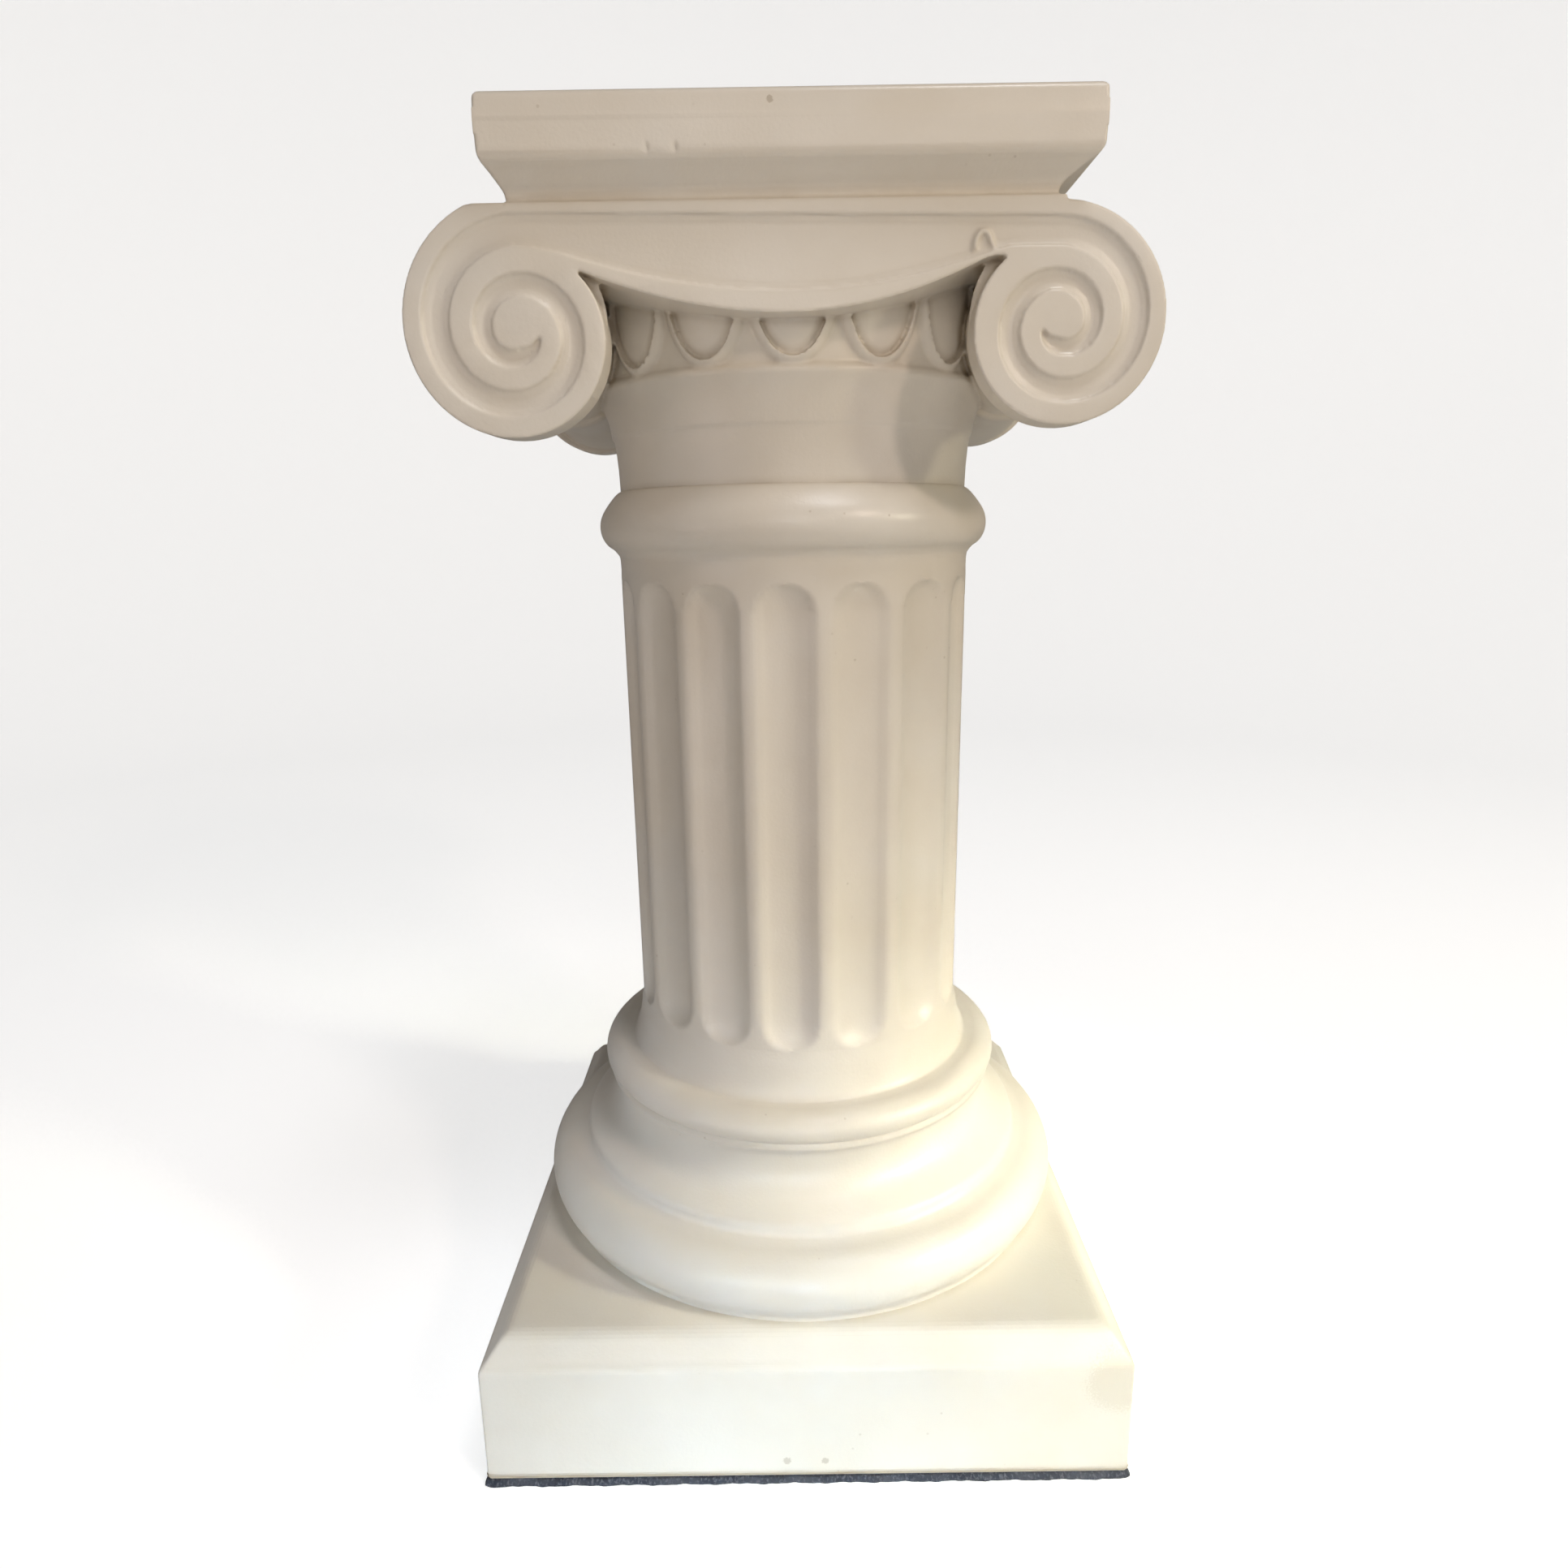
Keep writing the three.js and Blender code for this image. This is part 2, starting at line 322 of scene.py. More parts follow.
@dataclass
class Column:
    """The moulded base, the fluted shaft and the astragal, turned as one."""

    order: SettingOut
    columns_per_flute: int = 16
    flute_count: int = 16
    flute_turn: float = -3.0
    flute_half_width: float = 0.088
    flute_depth: float = 0.036
    flute_foot: float = 1.226
    flute_head: float = 2.712
    foot_level: float = 1.062
    foot_radius: float = 0.612
    shaft_radius: float = 0.578
    top_level: float = 2.787
    top_radius: float = 0.584
    astragal_top: float = 3.03
    ridge_shifts: tuple[float, ...] = (
        0.0, 0.6, 3.4, 0.2, -0.4, 0.5, -0.8, 0.3,
        -0.4, 0.9, -0.6, 0.2, 0.7, -0.5, 0.3, 0.0,
    )

    def base_profile(self) -> Outline:
        """The profile of both round rolls and the hollow between them."""
        return [
            (0, 0.42),
            (0.9, 0.42),
            (0.902, 0.474),
            *bend((0.902, 0.482), (0.902, 0.494), (0.91, 0.502), 3),
            *arc((0.83, 0.587), (0.116, 0.11), -44, 78, 16),
            *bend((0.815, 0.704), (0.803, 0.712), (0.803, 0.728), 3),
            *bend((0.801, 0.742), (0.79, 0.752), (0.775, 0.76), 3),
            *bend((0.75, 0.775), (0.665, 0.815), (0.688, 0.93), 10),
            *bend((0.7, 0.938), (0.71, 0.94), (0.712, 0.955), 3),
            *arc((0.65, 1.008), (0.075, 0.058), -42, 84, 12),
        ]

    def shaft_profile(self) -> Outline:
        """The profile of the shaft, with rings close together where the flutes end."""
        flare = bend((0.622, self.foot_level), (0.598, 1.075), (0.585, 1.19), 8)
        end_steps = 13
        reach = 1.15 * self.flute_half_width
        foot = [self.flute_foot - 0.008 + reach * step / end_steps for step in range(end_steps + 1)]
        head = [self.flute_head + 0.008 - reach + reach * step / end_steps for step in range(end_steps + 1)]
        levels = [*foot, 1.5, 1.75, 2.0, 2.25, 2.5, *head]
        span = self.top_level - self.flute_foot
        drift = self.top_radius - self.shaft_radius
        rings = [(self.shaft_radius + drift * (level - self.flute_foot) / span, level) for level in levels]
        return [*flare, *rings, (self.top_radius - 0.001, 2.745), (self.top_radius, 2.775)]

    def astragal_profile(self) -> Outline:
        """The profile of the round ring under the neck, with its long sloped back."""
        return [
            *bend((0.586, 2.787), (0.59, 2.795), (0.602, 2.808), 3),
            *arc((0.583, 2.882), (0.062, 0.076), -66, 28, 12),
            *bend((0.633, 2.928), (0.617, 2.955), (0.592, 2.982), 6),
            *bend((0.584, 2.989), (0.577, 2.994), (0.568, 2.997), 3),
            (0.5, self.astragal_top),
            (0, self.astragal_top),
        ]

    def flute_share(self, across: float, level: float) -> float:
        """How deep a flute is at a place, as a share of its full depth.

        Args:
            across: Distance along the surface from the flute's middle line, in modules.
            level: The level, in modules.

        Returns:
            1 at the bottom of the flute and 0 outside it.
        """
        low = self.flute_foot + self.flute_half_width
        high = self.flute_head - self.flute_half_width
        beyond = level - min(max(level, low), high)
        distance = math.hypot(across, beyond) / self.flute_half_width
        return max(1 - distance**2, 0) ** 0.62

    def press_flutes(self, piece: bpy.types.Object) -> None:
        """Presses the flutes into the turned shaft."""
        module, foot = self.order.module, self.order.foot
        pitch = FULL_TURN / self.flute_count
        for vertex in piece.data.vertices:
            level = (vertex.co.z - foot) / module
            if not self.foot_level + 0.1 < level < self.top_level:
                continue
            radius = math.hypot(vertex.co.x, vertex.co.y) / module
            angle = math.atan2(vertex.co.x, -vertex.co.y) - math.radians(self.flute_turn)
            across = (angle - pitch * round(angle / pitch)) * radius
            depth = self.flute_depth * self.flute_share(across, level)
            vertex.co.x *= 1 - depth / radius
            vertex.co.y *= 1 - depth / radius

    def wander(self, piece: bpy.types.Object) -> None:
        """Shifts the ridges a little, each by its own angle, as on a hand-made pattern."""
        pitch = FULL_TURN / self.flute_count
        for vertex in piece.data.vertices:
            level = (vertex.co.z - self.order.foot) / self.order.module
            above = smooth_step((level - self.foot_level - 0.02) / 0.1)
            held = above * smooth_step((self.top_level - level) / 0.06)
            if held <= 0:
                continue
            place = (math.atan2(vertex.co.x, -vertex.co.y) - math.radians(self.flute_turn)) / pitch - 0.5
            index = math.floor(place)
            share = place - index
            before, after = (self.ridge_shifts[i % self.flute_count] for i in (index, index + 1))
            shift = math.radians(before + (after - before) * share) * held
            x, y = vertex.co.x, vertex.co.y
            vertex.co.x = x * math.cos(shift) - y * math.sin(shift)
            vertex.co.y = x * math.sin(shift) + y * math.cos(shift)

    def build(self) -> bpy.types.Object:
        """Turns the column, turns it so that its columns of faces lie along the flutes, and presses them."""
        profile = [*self.base_profile(), *self.shaft_profile(), *self.astragal_profile()]
        steps = self.columns_per_flute * self.flute_count
        piece = Bench.turned("column", self.order.points(profile), steps)
        piece.data.transform(Matrix.Rotation(math.radians(self.flute_turn), 4, "Z"))
        self.press_flutes(piece)
        self.wander(piece)
        return piece


@dataclass(frozen=True)
class Scroll:
    """One scroll of the capital: a spiral channel sunk into a round face.

    Args:
        side: -1 for the left one, 1 for the right one, seen from the face.
        across: The eye's place across, in modules.
        level: The eye's level, in modules.
        start: The channel's outer radius at the top of its first turn.
        pitch: How much that radius shrinks in the first turn.
        easing: How much less it shrinks later on.
        band: The width of the raised band outside the channel.
        band_growth: How much wider the band gets in one turn.
        channel: The width of the channel at its start.
        channel_loss: How much narrower the channel gets in one turn.
        turns: The turns after which the channel runs out beside the eye.
    """

    side: int
    across: float
    level: float
    start: float
    pitch: float
    easing: float
    band: float
    band_growth: float
    channel: float
    channel_loss: float
    turns: float = 1.8

    def outer(self, turn: float) -> float:
        """The channel's outer radius after a number of turns."""
        return self.start - self.pitch * turn + self.easing * turn * turn

    def width(self, turn: float) -> float:
        """The channel's width after a number of turns."""
        run_out = smooth_step((self.turns - turn) / 0.3)
        return (self.channel - self.channel_loss * turn) * run_out

    def place(self, turn: float, radius: float) -> tuple[float, float]:
        """A point at a radius, that many turns from the top towards the outside."""
        angle = FULL_TURN * turn
        return self.across + self.side * radius * math.sin(angle), self.level + radius * math.cos(angle)

    def mirrored(self, scale: float, top: float) -> Scroll:
        """The same scroll for the back: the other way round, smaller, with its top at the same level."""
        sizes = ("start", "pitch", "easing", "band", "band_growth", "channel", "channel_loss")
        smaller = {size: getattr(self, size) * scale for size in sizes}
        level = top - (top - self.level) * scale
        return replace(self, side=-self.side, across=-self.across, level=level, **smaller)


@dataclass
class Face:
    """One face of the capital: two scrolls and the block between them, with the channel sunk into it.

    The block's lower edge is a raised rim that sags between the scrolls. Its two edges rise as the square
    of the distance from the middle, and the upper one eases into the scrolls.
    """

    order: SettingOut
    left: Scroll
    right: Scroll
    top_level: float = 3.683
    front: float = -0.722
    thickness: float = 0.11
    rim_low: float = 3.4144
    rim_low_rise: tuple[float, float] = (0.186, 0.24)
    rim_high: float = 3.4667
    rim_high_rise: tuple[float, float] = (0.1424, 0.158)
    rim_low_cap: float = 3.543
    ease_from: float = 0.74
    outline_steps: int = 72
    rim_steps: int = 48
    channel_depths: tuple[float, float] = (0.0105, 0.0145)
    floor_margin: float = 0.014
    hook: bool = True

    def scroll_outline(self, scroll: Scroll) -> Outline:
        """The outer outline of a scroll: its first turn, closed across."""
        points = []
        for step in range(self.outline_steps):
            turn = step / self.outline_steps
            radius = scroll.outer(turn) + scroll.band + scroll.band_growth * turn
            across, level = scroll.place(turn, radius)
            points.append((across, min(level, self.top_level)))
        return points

    def wall(self, scroll: Scroll, outer: bool, margin: float) -> Outline:
        """One wall of a scroll's channel, from the top in to where it runs out.

        Args:
            scroll: The scroll that the channel is in.
            outer: Whether it is the wall on the outside.
            margin: How far inside the channel the line runs.

        Returns:
            The points of the wall.
        """
        points = []
        steps = round(self.outline_steps * scroll.turns)
        for step in range(steps):
            turn = scroll.turns * step / steps
            width = scroll.width(turn)
            inset = min(margin, width * 0.4)
            radius = scroll.outer(turn) - (inset if outer else width - inset)
            points.append(scroll.place(turn, radius))
        return points

    def across_at(self, step: int) -> tuple[float, float]:
        """A place between the two eyes, and its distance from the middle as a share of the way there."""
        share = 2 * step / self.rim_steps - 1
        return self.left.across + (self.right.across - self.left.across) * step / self.rim_steps, share

    def rim_underside(self) -> Outline:
        """The lower edge of the rim, from one eye's line to the other's."""
        points = []
        for step in range(self.rim_steps + 1):
            across, share = self.across_at(step)
            rise = self.rim_low_rise[share > 0]
            points.append((across, min(self.rim_low + rise * share * share, self.rim_low_cap)))
        return points

    def rim_top(self, margin: float) -> Outline:
        """The upper edge of the rim, easing into the top of each scroll's inner wall, without its ends."""
        points = []
        for step in range(1, self.rim_steps):
            across, share = self.across_at(step)
            scroll = self.right if share > 0 else self.left
            rise = self.rim_high_rise[share > 0]
            reach = abs(share)
            if reach < self.ease_from:
                level = self.rim_high + rise * reach * reach
            else:
                start = self.rim_high + rise * self.ease_from**2
                slope = 2 * rise * self.ease_from * (1 - self.ease_from)
                end = scroll.level + scroll.outer(0) - scroll.width(0)
                t = (reach - self.ease_from) / (1 - self.ease_from)
                level = start + (end - start) * smooth_step(t) + slope * t * (1 - t) ** 2
            points.append((across, level + margin))
        return points

    def channel_outline(self, margin: float) -> Outline:
        """The channel: in from one eye, across between the fillet and the rim, and in to the other eye."""
        return [
            *reversed(self.wall(self.left, True, margin)),
            *self.wall(self.right, True, margin),
            *reversed(self.wall(self.right, False, margin)),
            *reversed(self.rim_top(margin)),
            *self.wall(self.left, False, margin),
        ]

    def hook_ridge(self) -> bpy.types.Object:
        """The small hooked ridge that stands on the channel's floor at the rim's right end."""
        centre, half, ridge = (0.493, 3.562), (0.022, 0.04), 0.0045
        outer = arc(centre, (half[0] + ridge, half[1] + ridge), 185, 20, 14)
        inner = arc(centre, (half[0] - ridge, half[1] - ridge), 20, 185, 14)
        tail = [(0.532, 3.549), (0.527, 3.541)]
        outline = self.order.points([*outer, *tail, *inner])
        module = self.order.module
        return Bench.slab("hook", outline, (self.front + 0.005) * module, 0.03 * module)

    def build(self) -> bpy.types.Object:
        """Makes the block and both scrolls, and sinks the channel in two steps."""
        order, module = self.order, self.order.module
        top = self.top_level
        block = [(self.left.across, top), *self.rim_underside(), (self.right.across, top)]
        front = self.front * module
        face = Bench.slab("face", order.points(block), front, -front + 0.001)
        for scroll in (self.left, self.right):
            outline = order.points(self.scroll_outline(scroll))
            disc = Bench.slab("scroll", outline, front, self.thickness * module)
            Bench.combine(face, disc, Cut.JOIN)
        for margin, depth in zip((0.0, self.floor_margin), self.channel_depths):
            outline = order.points(self.channel_outline(margin))
            channel = Bench.slab("channel", outline, front - 0.002, depth * module + 0.002)
            Bench.combine(face, channel, Cut.CARVE)
        if self.hook:
            Bench.combine(face, self.hook_ridge(), Cut.JOIN)
        return face


@dataclass
class EggRing:
    """The ring of eggs round the echinus, each in a raised frame that narrows to a round foot."""

    order: SettingOut
    count: int = 16
    ring_radius: float = 0.613
    level: float = 3.503
    egg_half: tuple[float, float, float] = (0.103, 0.036, 0.178)
    groove_half: tuple[float, float, float] = (0.105, 0.4, 0.18)
    frame_half: tuple[float, float, float] = (0.127, 0.056, 0.205)

    def build(self) -> bpy.types.Object:
        """Models one egg with its frame, and copies it round the ring."""
        module = self.order.module
        halves = (self.frame_half, self.groove_half, self.egg_half)
        frame_size, groove_size, egg_size = (tuple(size * module for size in half) for half in halves)
        frame = Bench.pebble("egg_frame", frame_size, 48)
        Bench.combine(frame, Bench.pebble("egg_groove", groove_size, 48), Cut.CARVE)
        egg = Bench.gather([frame, Bench.pebble("egg", egg_size, 32)], "egg")
        across, height = self.order.at(self.ring_radius, self.level)
        egg.data.transform(Matrix.Translation((0, -across, height)))
        ring = [egg]
        for index in range(1, self.count):
            ring.append(Bench.copy(egg, Matrix.Rotation(FULL_TURN * index / self.count, 4, "Z")))
        return Bench.gather(ring, "egg_ring")


@dataclass
class Capital:
    """Neck, echinus, scrolls, cushions and abacus, fused and softened as thick paint softens them."""

    order: SettingOut
    voxel: float = 0.0009
    triangles: int = 124_000
    softening: int = 2
    back_scale: float = 0.9
    abacus_half: float = 0.779
    abacus_neck: float = 0.706
    neck_drift: float = -0.023
    cushion_radius: float = 0.21
    cushion_waist: float = 0.185
    scroll_left: Scroll = Scroll(
        side=-1,
        across=-0.7211,
        level=3.3761,
        start=0.2843,
        pitch=0.1613,
        easing=0.019,
        band=0.0479,
        band_growth=0.0113,
        channel=0.0773,
        channel_loss=0.0214,
    )
    scroll_right: Scroll = Scroll(
        side=1,
        across=0.7006,
        level=3.3767,
        start=0.2589,
        pitch=0.1347,
        easing=0.0089,
        band=0.037,
        band_growth=0.0381,
        channel=0.0717,
        channel_loss=0.0199,
    )
    nick_places: tuple[float, float] = (-0.357, -0.287)
    nick_level: float = 3.782
    nick_half: tuple[float, float, float] = (0.007, 0.006, 0.018)
    cushion_length: float = 0.66

    def neck(self) -> bpy.types.Object:
        """The neck and the body of the echinus behind the eggs."""
        profile = [
            (0, 2.97),
            (0.565, 2.97),
            (0.572, 2.985),
            (0.573, 3.0),
            (0.575, 3.06),
            (0.58, 3.12),
            (0.584, 3.146),
            (0.586, 3.154),
            *bend((0.591, 3.158), (0.602, 3.235), (0.627, 3.275), 8),
            *bend((0.633, 3.284), (0.636, 3.297), (0.628, 3.304), 4),
            *bend((0.622, 3.307), (0.618, 3.33), (0.623, 3.38), 5),
            (0.634, 3.5),
            (0.64, 3.62),
            (0, 3.62),
        ]
        return Bench.turned("neck", self.order.points(profile), 96)

    def abacus(self) -> bpy.types.Object:
        """The square top slab on its hollow moulding, which was cast a little to the left."""
        half, neck = self.abacus_half, self.abacus_neck
        top = (self.order.top - self.order.foot) / self.order.module
        profile = [
            (0, 3.6),
            (neck, 3.6),
            (neck, 3.69),
            *bend((neck + 0.003, 3.705), (neck + 0.01, 3.718), (neck + 0.024, 3.729), 4),
            (0.757, 3.753),
            *bend((0.765, 3.759), (half - 0.002, 3.768), (half, 3.785), 4),
            (half + 0.002, 3.85),
            (half, top - 0.012),
            (half - 0.01, top),
            (0, top),
        ]
        corners = [(across * math.sqrt(2), level) for across, level in profile]
        slab = Bench.turned("abacus", self.order.points(corners), 4)
        slab.data.transform(Matrix.Rotation(math.pi / 4, 4, "Z"))
        for vertex in slab.data.vertices:
            level = (vertex.co.z - self.order.foot) / self.order.module
            vertex.co.x += self.neck_drift * self.order.module * (1 - smooth_step((level - 3.7) / 0.08))
        for across in self.nick_places:
            nick = Bench.pebble("nick", tuple(size * self.order.module for size in self.nick_half))
            x, z = self.order.at(across, self.nick_level)
            nick.data.transform(Matrix.Translation((x, -half * self.order.module, z)))
            Bench.combine(slab, nick, Cut.CARVE)
        return slab

    def cushion(self, scroll: Scroll) -> bpy.types.Object:
        """The cushion that joins a front scroll to the back one, with a ring round its waist."""
        length, waist = self.cushion_length, self.cushion_waist
        half = bend((self.cushion_radius + 0.02, -length), (waist, -0.4), (waist, -0.05), 8)
        ring = arc((waist, 0), (0.016, 0.045), -90, 90, 8)
        profile = [(0, -length), *half, *ring, *[(r, -z) for r, z in reversed(half)], (0, length)]
        scaled = [(r * self.order.module, z * self.order.module) for r, z in profile]
        piece = Bench.turned("cushion", scaled, 64)
        across, height = self.order.at(scroll.across, scroll.level + 0.03)
        piece.data.transform(Matrix.Translation((across, 0, height)) @ Matrix.Rotation(math.pi / 2, 4, "X"))
        return piece

    def build(self) -> bpy.types.Object:
        """Makes every part of the capital and fuses them into one soft-edged solid."""
        front = Face(self.order, self.scroll_left, self.scroll_right)
        top = front.top_level
        mirrored = [scroll.mirrored(self.back_scale, top) for scroll in (self.scroll_right, self.scroll_left)]
        back = Face(self.order, *mirrored, hook=False).build()
        back.data.transform(Matrix.Rotation(math.pi, 4, "Z"))
        parts = [front.build(), back, self.neck(), self.abacus(), EggRing(self.order).build()]
        parts += [self.cushion(scroll) for scroll in (self.scroll_left, self.scroll_right)]
        capital = Bench.gather(parts, "capital")
        Bench.apply(capital, "REMESH", mode="VOXEL", voxel_size=self.voxel)
        Bench.apply(capital, "SMOOTH", factor=0.5, iterations=self.softening)
        share = self.triangles / (2 * len(capital.data.polygons))
        LOG.info("capital before thinning: %d faces", len(capital.data.polygons))
        Bench.apply(capital, "DECIMATE", decimate_type="COLLAPSE", ratio=share)
        return capital


class Recipe:
    """The shader nodes of one material or node group, added and wired one by one."""

    def __init__(self, tree: bpy.types.NodeTree) -> None:
        """Starts a recipe in a node tree."""
        self.tree = tree

    @classmethod
    def material(cls, name: str) -> tuple[bpy.types.Material, Recipe]:
        """A new material and the recipe that fills it."""
        made = bpy.data.materials.new(name)
        made.use_nodes = True
        return made, cls(made.node_tree)

    def node(self, kind: str, **inputs: object) -> bpy.types.Node:
        """Adds a node.

        Args:
            kind: The node's type, without its ShaderNode prefix.
            **inputs: A number, a colour or another node's socket for each input, with _ for each space.

        Returns:
            The node.
        """
        made = self.tree.nodes.new(f"ShaderNode{kind}")
        self.feed(made, **inputs)
        return made

    def feed(self, node: bpy.types.Node, **inputs: object) -> None:
        """Sets or links inputs of a node, by their names."""
        for key, value in inputs.items():
            self.give(node.inputs[key.replace("_", " ")], value)

    def give(self, socket: bpy.types.NodeSocket, value: object) -> None:
        """Links another node's socket to an input, or sets the input to a plain value."""
        if isinstance(value, bpy.types.NodeSocket):
            self.tree.links.new(value, socket)
        else:
            socket.default_value = value

    def where(self) -> bpy.types.NodeSocket:
        """The place on the piece, in metres."""
        return self.node("TexCoord").outputs["Object"]

    def stretched(self, place: bpy.types.NodeSocket, scale: Sequence[float],
                  turn: Sequence[float] = (0, 0, 0)) -> bpy.types.NodeSocket:
        """A place scaled and turned, for a pattern that runs one way."""
        return self.node("Mapping", Vector=place, Scale=scale, Rotation=turn).outputs["Vector"]

    def noise(self, place: bpy.types.NodeSocket, scale: float, detail: float) -> bpy.types.NodeSocket:
        """A soft random pattern between 0 and 1."""
        return self.node("TexNoise", Vector=place, Scale=scale, Detail=detail).outputs["Fac"]

    def spread(self, value: bpy.types.NodeSocket, low: float, high: float, start: float = 0.0,
               end: float = 1.0) -> bpy.types.NodeSocket:
        """A value's range from low to high, moved to the range from start to end."""
        names = {"From Min": low, "From Max": high, "To Min": start, "To Max": end}
        made = self.node("MapRange", Value=value)
        for name, number in names.items():
            made.inputs[name].default_value = number
        return made.outputs["Result"]

    def sum(self, kind: str, one: object, two: object) -> bpy.types.NodeSocket:
        """Two values put together by a Math node, held between 0 and 1."""
        made = self.node("Math")
        made.operation = kind
        made.use_clamp = True
        for socket, value in zip(made.inputs, (one, two)):
            self.give(socket, value)
        return made.outputs["Value"]

    def blend(self, share: object, one: object, two: object) -> bpy.types.NodeSocket:
        """Two colours mixed by a share, which may be a number or a socket."""
        made = self.node("Mix")
        made.data_type = "RGBA"
        for socket, value in zip((made.inputs[0], made.inputs[6], made.inputs[7]), (share, one, two)):
            self.give(socket, value)
        return made.outputs[2]

    def group(self, tree: bpy.types.NodeTree, **inputs: object) -> bpy.types.Node:
        """Places a node group."""
        made = self.tree.nodes.new("ShaderNodeGroup")
        made.node_tree = tree
        self.feed(made, **inputs)
        return made


def shader_group(name: str, inputs: Sequence[tuple[str, str]], outputs: Sequence[str]) -> bpy.types.NodeTree:
    """An empty shader node group.

    Args:
        name: The group's name.
        inputs: Each input's name and whether it is a Float or a Vector.
        outputs: The names of the float outputs.

    Returns:
        The group's tree.
    """
    tree = bpy.data.node_groups.new(name, "ShaderNodeTree")
    for label, kind in inputs:
        tree.interface.new_socket(label, in_out="INPUT", socket_type=f"NodeSocket{kind}")
    for label in outputs:
        tree.interface.new_socket(label, in_out="OUTPUT", socket_type="NodeSocketFloat")
    return tree


def patchiness() -> bpy.types.NodeTree:
    """The group that both finishes use: slow patches, and fine grain for the surface."""
    if "patchiness" in bpy.data.node_groups:
        return bpy.data.node_groups["patchiness"]
    sockets = (("Place", "Vector"), ("Patch", "Float"), ("Grain", "Float"))
    tree = shader_group("patchiness", sockets, ("Patches", "Grain"))
    recipe = Recipe(tree)
    given = tree.nodes.new("NodeGroupInput")
    result = tree.nodes.new("NodeGroupOutput")
    patches = recipe.node("TexNoise", Vector=given.outputs["Place"], Scale=given.outputs["Patch"], Detail=4.0)
    grain = recipe.node("TexNoise", Vector=given.outputs["Place"], Scale=given.outputs["Grain"], Detail=3.0)
    tree.links.new(recipe.spread(patches.outputs["Fac"], 0.35, 0.68), result.inputs["Patches"])
    tree.links.new(grain.outputs["Fac"], result.inputs["Grain"])
    return tree


def small_mark() -> bpy.types.NodeTree:
    """The group for one small mark: a ragged spot round a place."""
    if "small_mark" in bpy.data.node_groups:
        return bpy.data.node_groups["small_mark"]
    sockets = (("Place", "Vector"), ("Centre", "Vector"), ("Size", "Float"))
    tree = shader_group("small_mark", sockets, ("Mark",))
    recipe = Recipe(tree)
    given = tree.nodes.new("NodeGroupInput")
    result = tree.nodes.new("NodeGroupOutput")
    away = recipe.node("VectorMath")
    away.operation = "DISTANCE"
    tree.links.new(given.outputs["Place"], away.inputs[0])
    tree.links.new(given.outputs["Centre"], away.inputs[1])
    ragged = recipe.noise(given.outputs["Place"], 900.0, 1.0)
    share = recipe.node("Math")
    share.operation = "DIVIDE"
    tree.links.new(away.outputs["Value"], share.inputs[0])
    tree.links.new(given.outputs["Size"], share.inputs[1])
    rough_edge = recipe.node("Math")
    rough_edge.operation = "ADD"
    tree.links.new(share.outputs["Value"], rough_edge.inputs[0])
    tree.links.new(ragged, rough_edge.inputs[1])
    tree.links.new(recipe.spread(rough_edge.outputs["Value"], 1.55, 1.25), result.inputs["Mark"])
    return tree


